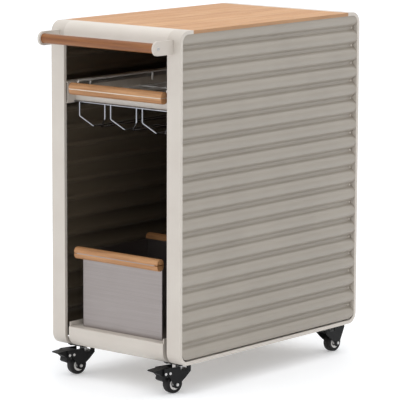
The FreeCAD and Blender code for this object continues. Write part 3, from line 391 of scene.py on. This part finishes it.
# Finishes of single nodes that differ from the rest of their slot: lighter copies as painted light, and a darker
# one as painted shade.
# Painted light: a lighter, less metallic copy of the bright wire, for the tray's gallery and wire floor.
painted_light_wire = bright_metal("painted_light_wire", rgb(238, 236, 232), rgb(226, 224, 220), 0.4, 300, 0.25)
# Painted shade: a darker copy of the bright wire, for the glass rack inside the trolley.
rack_wire = bright_metal("rack_wire", rgb(172, 173, 178), rgb(150, 152, 158), 0.16, 300)
# Painted light: a lighter, less metallic steel, for the tray's frame.
painted_light_tray_steel = bright_metal("painted_light_tray_steel", rgb(214, 205, 192), rgb(202, 193, 180), 0.42, 500, 0.2)
# Painted light: a lighter copy of the frame's powder coat, for the carrier bars and fascias.
painted_light_coat = powder_coat("painted_light_coat", rgb(214, 207, 199), rgb(210, 203, 194))
lit_and_shaded_copies = {
    "tray_gallery": painted_light_wire,
    "tray_wire_floor": painted_light_wire,
    "glass_rack": rack_wire,
    "tray_frame": painted_light_tray_steel,
    "tray_carrier_bars": painted_light_coat,
    "front_fascia": painted_light_coat,
    "rear_fascia": painted_light_coat,
}

for subpart in record["subparts"]:
    node = subpart["node"]
    for slot in frame["nodes"][node].material_slots:
        slot.link = "OBJECT"
        slot.material = lit_and_shaded_copies.get(node, materials[subpart["material_slot"]])


# ---- pieces made here ------------------------------------------------------------------------


def finished(name, shape, slot, body, node=None):
    """Make a bmesh a piece that has a slot's finish, rides on a body and may replace a node."""
    mesh = bpy.data.meshes.new(name)
    bmesh.ops.recalc_face_normals(shape, faces=shape.faces)
    for edge in shape.edges:
        if len(edge.link_faces) == 2 and edge.calc_face_angle(0) > SHARP_TURN:
            edge.smooth = False
    for face in shape.faces:
        face.smooth = True
    shape.to_mesh(mesh)
    shape.free()
    piece = bpy.data.objects.new(name, mesh)
    bpy.context.scene.collection.objects.link(piece)
    mesh.materials.append(materials[slot])
    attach(piece, body)
    if node:
        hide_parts(node)


def body_of(node):
    """The body that a node belongs to."""
    bodies = record["behaviour"]["bodies"]
    return next(body for body, nodes in bodies.items() if node in nodes)


def rib_stations(steps=12):
    """The corrugation from its top down, as outer x, outer z, inner x and inner z.

    x counts from the outside of the crests.  Broad crest arcs and tight valley arcs meet at a
    common tangent, and each has the given number of steps.
    """
    slope = 2 * math.atan(RIB_DEPTH / (RIB_PITCH / 2))
    crest = RIB_PITCH / 2 / math.sin(slope) - VALLEY_RADIUS
    stations = []
    for rib in range(int(panel_high.z / RIB_PITCH) + 2):
        valley_z = TOP_VALLEY + RIB_PITCH - rib * RIB_PITCH
        arcs = (
            (VALLEY_RADIUS - RIB_DEPTH, valley_z, VALLEY_RADIUS, -1),
            (-crest, valley_z - RIB_PITCH / 2, crest, 1),
        )
        for centre_x, centre_z, radius, bulge in arcs:
            for step in range(steps):
                turn = slope * (1 - step / (steps / 2))
                across, up = bulge * math.cos(turn), math.sin(turn)
                inner = radius - bulge * SHEET
                stations.append(
                    (
                        centre_x + across * radius,
                        centre_z + up * radius,
                        centre_x + across * inner,
                        centre_z + up * inner,
                    )
                )
    return stations


def cut_to(stations, low, high):
    """The stations between two heights, with the ends cut level."""
    kept = [station for station in stations if low < station[1] < high]
    first, last = kept[0], kept[-1]
    return [(first[0], high, first[2], high)] + kept + [(last[0], low, last[2], low)]


def corner_inset(height):
    """How far the sheet's front and rear edges stand back at a height, for its round corners."""
    depth = min(height - SHEET_LOW, panel_high.z - height)
    if depth >= SHEET_CORNER:
        return 0.0
    drop = SHEET_CORNER - max(depth, 0.0)
    return SHEET_CORNER - math.sqrt(SHEET_CORNER**2 - drop**2)


def build_corrugated_sheet(name, sign):
    """A corrugated side sheet with round corners, its crests flush with the hoop's outside."""
    shape = bmesh.new()
    rows = []
    for outer_x, outer_z, inner_x, inner_z in cut_to(rib_stations(), SHEET_LOW, panel_high.z):
        height = min(max(outer_z, SHEET_LOW), panel_high.z)
        inner_z = min(max(inner_z, SHEET_LOW), panel_high.z)
        inset = corner_inset(height)
        front, rear = panel_low.y + inset, panel_high.y - inset
        rows.append(
            [
                shape.verts.new((sign * (panel_high.x + x), y, z))
                for x, y, z in (
                    (outer_x, front, height),
                    (outer_x, rear, height),
                    (inner_x, rear, inner_z),
                    (inner_x, front, inner_z),
                )
            ]
        )
    for above, below in zip(rows, rows[1:]):
        for corner in range(4):
            after = (corner + 1) % 4
            shape.faces.new((above[corner], above[after], below[after], below[corner]))
    shape.faces.new(rows[0])
    shape.faces.new(reversed(rows[-1]))
    finished(name, shape, "panel_paint", "cabinet", name)


def add_turned(shape, profile, place, axis, segments=20, ring_shaped=False):
    """Add a turned solid: profile is radius and distance along the axis, from end to end.

    A ring-shaped one has its last point joined to its first, in place of two flat ends.
    """
    turn = Vector((0, 0, 1)).rotation_difference(Vector(axis)).to_matrix()
    rings = []
    for radius, along in profile:
        ring = []
        for index in range(segments):
            angle = 2 * math.pi * index / segments
            spot = Vector((radius * math.cos(angle), radius * math.sin(angle), along))
            ring.append(shape.verts.new(Vector(place) + turn @ spot))
        rings.append(ring)
    following = rings[1:] + rings[:1] if ring_shaped else rings[1:]
    for one, two in zip(rings, following):
        for index in range(segments):
            after = (index + 1) % segments
            shape.faces.new((one[index], one[after], two[after], two[index]))
    if not ring_shaped:
        shape.faces.new(reversed(rings[0]))
        shape.faces.new(rings[-1])


def build_rivets(name, sign):
    """Domed rivets that hold a sheet to its hoop, one in each valley at the front and rear."""
    shape = bmesh.new()
    floor_x = panel_high.x - RIB_DEPTH
    count = int((TOP_VALLEY - panel_low.z - RIVET_MARGIN) / RIB_PITCH) + 1
    for row in range(count):
        height = TOP_VALLEY - row * RIB_PITCH
        for y in (panel_low.y + RIVET_INSET, panel_high.y - RIVET_INSET):
            add_turned(shape, RIVET_DOME, (sign * floor_x, y, height), (sign, 0, 0))
    finished(name, shape, "frame_paint", "cabinet")


def wheel_axis(caster):
    """The middle of a caster's wheel and the direction of its axle."""
    joint = next(item for item in frame["joints"] if item["name"] == f"{caster}_wheel_spin")
    return Vector(joint["pos_m"]), Vector(joint["axis"])


def build_axle(caster):
    """A bolt through the fork and the hub: hexagon head outside, domed nut inside."""
    node = f"{caster}_axle"
    centre, along = wheel_axis(caster)
    out = 1 if centre.x > 0 else -1
    outward = along.normalized() * (out if along.x > 0 else -out)
    shape = bmesh.new()
    bolt = [(AXLE_RADIUS, -FORK_FACE), (AXLE_RADIUS, FORK_FACE)]
    add_turned(shape, bolt, centre, outward, segments=28)
    hexagon = [
        (AXLE_HEAD, FORK_FACE),
        (AXLE_HEAD, AXLE_END - 0.0006),
        (AXLE_HEAD - 0.0007, AXLE_END),
    ]
    add_turned(shape, hexagon, centre, outward, segments=6)
    nut = [(AXLE_HEAD, -AXLE_END + NUT_DOME), (AXLE_HEAD, -FORK_FACE)]
    add_turned(shape, nut, centre, outward, segments=6)
    dome = [(0.0012, -AXLE_END), (0.0028, -AXLE_END + 0.0004), (0.0036, -AXLE_END + NUT_DOME)]
    add_turned(shape, dome, centre, outward)
    finished(f"{caster}_axle_bolt", shape, "zinc", body_of(node), node)


def mirrored(half):
    """A turned profile from its half on the positive side of the axis's middle."""
    return [(radius, -along) for radius, along in half] + list(reversed(half))


def build_wheel(caster):
    """A broad tyre with round shoulders, a hub with a bright ring, and its dark dust caps."""
    centre, along = wheel_axis(caster)
    tread = TYRE_WIDTH / 2
    tyre_node, hub_node = f"{caster}_tyre", f"{caster}_hub"

    tyre = bmesh.new()
    shoulder = [
        (HUB_RADIUS, tread),
        (0.0205, tread),
        (0.0228, tread - 0.0005),
        (0.0241, tread - 0.0018),
        (0.0248, tread - 0.004),
        (TYRE_RADIUS, tread - 0.0075),
    ]
    add_turned(tyre, mirrored(shoulder), centre, along, segments=56, ring_shaped=True)
    finished(f"{caster}_wheel_tyre", tyre, "tyre", body_of(tyre_node), tyre_node)

    hub = bmesh.new()
    ring = [
        (HUB_BORE, HUB_REACH),
        (HUB_BOSS - 0.0002, HUB_REACH),
        (HUB_BOSS, HUB_REACH - 0.0004),
        (HUB_BOSS, HUB_WEB),
        (HUB_INNER, HUB_WEB),
        (HUB_INNER, tread - 0.0014),
        (HUB_INNER + 0.0005, tread - 0.0009),
        (HUB_RADIUS - 0.0002, tread - 0.0002),
    ]
    add_turned(hub, mirrored(ring), centre, along, segments=48, ring_shaped=True)
    finished(f"{caster}_wheel_hub", hub, "hub_plastic", body_of(hub_node), hub_node)

    caps = bmesh.new()
    cap = [
        (HUB_BOSS + 0.0002, HUB_WEB + 0.0002),
        (HUB_BOSS + 0.0002, 0.0072),
        (HUB_BOSS + 0.001, 0.0076),
        (HUB_INNER - 0.0002, 0.0060),
        (HUB_INNER - 0.0002, HUB_WEB + 0.0002),
    ]
    for side in (-1, 1):
        add_turned(caps, cap, centre, along * side, segments=40, ring_shaped=True)
    finished(f"{caster}_dust_caps", caps, "caster_black", body_of(hub_node))


def build_handle_screws():
    """Button-head socket screws that hold the handle between its brackets."""
    low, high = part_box("handle_screws")
    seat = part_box("right_handle_bracket")[1].x
    shape = bmesh.new()
    radius = (high.z - low.z) / 2
    middle_y, middle_z = (low.y + high.y) / 2, (low.z + high.z) / 2
    length = high.x - seat
    screw = [
        (SCREW_RADIUS, -SCREW_LENGTH),
        (SCREW_RADIUS, 0.0),
        (radius, 0.0),
        (radius, length * 0.35),
        (radius * 0.86, length * 0.8),
        (radius * 0.62, length),
        (SOCKET_RADIUS, length),
        (SOCKET_RADIUS - 0.0002, length * 0.3),
        (0.0004, length * 0.2),
    ]
    for sign in (-1, 1):
        add_turned(shape, screw, (sign * seat, middle_y, middle_z), (sign, 0, 0), segments=30)
    finished("handle_socket_screws", shape, "zinc", "cabinet", "handle_screws")


def build_shelf_flanges():
    """Flanges folded down along both sides of the bottom shelf, with its bend at the corners."""
    low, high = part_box("bottom_shelf")
    shape = bmesh.new()
    top, bottom = low.z + FLANGE_TOP, low.z + FLANGE_LIFT
    front, rear = low.y + SHELF_SHEET, high.y - SHELF_SHEET
    radius = SHELF_BEND - SHELF_SHEET
    outline = [(front, top)]
    for start, centre_y in ((math.pi, front + radius), (1.5 * math.pi, rear - radius)):
        for step in range(9):
            angle = start + step * math.pi / 16
            y = centre_y + radius * math.cos(angle)
            outline.append((y, bottom + radius * (1 + math.sin(angle))))
    outline.append((rear, top))
    for sign in (-1, 1):
        face = sign * (high.x - FLANGE_INSET)
        sides = (face, face - sign * SHELF_SHEET)
        outer, inner = [[shape.verts.new((x, y, z)) for y, z in outline] for x in sides]
        for index in range(len(outline)):
            after = (index + 1) % len(outline)
            shape.faces.new((outer[index], outer[after], inner[after], inner[index]))
        shape.faces.new(reversed(outer))
        shape.faces.new(inner)
    finished("shelf_side_flanges", shape, "frame_paint", "cabinet")


for side_name, side_sign in (("left", -1), ("right", 1)):
    build_corrugated_sheet(f"{side_name}_side_panel", side_sign)
    build_rivets(f"{side_name}_rivets", side_sign)
for caster_name in ("front_left", "front_right", "rear_left", "rear_right"):
    build_axle(caster_name)
    build_wheel(caster_name)
build_handle_screws()
build_shelf_flanges()


# ---- floor and light -------------------------------------------------------------------------


def build_floor():
    """A pale floor that takes the trolley's shadow and shows white where nothing shades it."""
    mesh = bpy.data.meshes.new("floor")
    reach = 30.0
    corners = [(-reach, -reach, 0), (reach, -reach, 0), (reach, reach, 0), (-reach, reach, 0)]
    mesh.from_pydata(corners, [], [(0, 1, 2, 3)])
    floor = bpy.data.objects.new("floor", mesh)
    bpy.context.scene.collection.objects.link(floor)
    shader = Shader("floor")
    grain = shader.noise(shader.place, scale=30, detail=2)
    shader.surface(
        Base_Color=shader.mix(grain, rgb(238, 240, 243), rgb(242, 244, 247)),
        Roughness=0.7,
        Emission_Color=rgb(255, 255, 255),
        Emission_Strength=0.22,
    )
    mesh.materials.append(shader.material)


def seen_directly(shader):
    """1 for what the camera sees, also by a mirror or through glass, and 0 for other light."""
    path = shader.tree.nodes.new("ShaderNodeLightPath")
    seen = path.outputs["Is Camera Ray"]
    for name in ("Is Glossy Ray", "Is Transmission Ray"):
        seen = shader.math("MAXIMUM", seen, path.outputs[name])
    return seen


class WorldShader(Shader):
    """The world's node tree, with the same short calls."""

    def __init__(self, world):
        world.use_nodes = True
        self.tree = world.node_tree
        self.tree.nodes.clear()
        self.principled = self.tree.nodes.new("ShaderNodeBackground")
        output = self.tree.nodes.new("ShaderNodeOutputWorld")
        self.tree.links.new(self.principled.outputs[0], output.inputs["Surface"])


def build_world(level):
    """White behind the trolley, and on it a soft light that comes mostly from overhead."""
    world = bpy.data.worlds.new("studio")
    bpy.context.scene.world = world
    shader = WorldShader(world)
    direction = shader.tree.nodes.new("ShaderNodeTexCoord").outputs["Generated"]
    height = shader.math("MAXIMUM", shader.axis("Z", direction), 0.0)
    rise = shader.ramp(height, 0.08, 0.6, 0.03, 1.0)
    fall = shader.ramp(height, 0.75, 1.0, 1.0, 0.6)
    light = shader.math("MULTIPLY", shader.math("MULTIPLY", rise, fall), level)
    seen = seen_directly(shader)
    strength = shader.mix(seen, light, rgb(255, 255, 255))
    shader.surface(Color=rgb(255, 255, 255), Strength=strength)


def build_lamp(name, place, target, size, power):
    """A soft rectangular lamp at a place, aimed at a target, that the camera doesn't see."""
    lamp = bpy.data.lights.new(name, "AREA")
    lamp.shape = "RECTANGLE"
    lamp.size, lamp.size_y = size
    lamp.energy = power
    item = bpy.data.objects.new(name, lamp)
    bpy.context.scene.collection.objects.link(item)
    item.location = place
    item.rotation_euler = (Vector(target) - Vector(place)).to_track_quat("-Z", "Y").to_euler()
    item.visible_camera = False


def build_camera(place, yaw, dip, roll, lens):
    """A camera at a place, turned by the given degrees, with a lens in millimetres."""
    data = bpy.data.cameras.new("camera")
    data.sensor_width = 36
    data.lens = lens
    data.clip_end = 100
    camera = bpy.data.objects.new("camera", data)
    bpy.context.scene.collection.objects.link(camera)
    turn = Euler((math.radians(90 - dip), 0, math.radians(yaw))).to_matrix()
    turn = turn @ Matrix.Rotation(math.radians(roll), 3, "Z")
    camera.matrix_world = Matrix.Translation(place) @ turn.to_4x4()
    bpy.context.scene.camera = camera


build_floor()
build_world(1.3)
build_lamp("overhead", (0.3, -0.4, 3.6), (0, 0.1, 0.5), (3.0, 3.0), 26)
build_lamp("front_key", (-2.2, -5.2, 1.3), (0, -0.3, 0.5), (2.4, 2.0), 26)
build_lamp("rear_rim", (1.4, 3.8, 2.9), (0.2, 0, 0.5), (3.6, 2.4), 16)
# The photograph's viewpoint: a long lens from the right of the front, a little above.
build_camera((4.4649, -5.2990, 1.5800), yaw=40.0862, dip=9.3038, roll=0.1945, lens=238.87)
bpy.context.scene.view_settings.view_transform = "Standard"
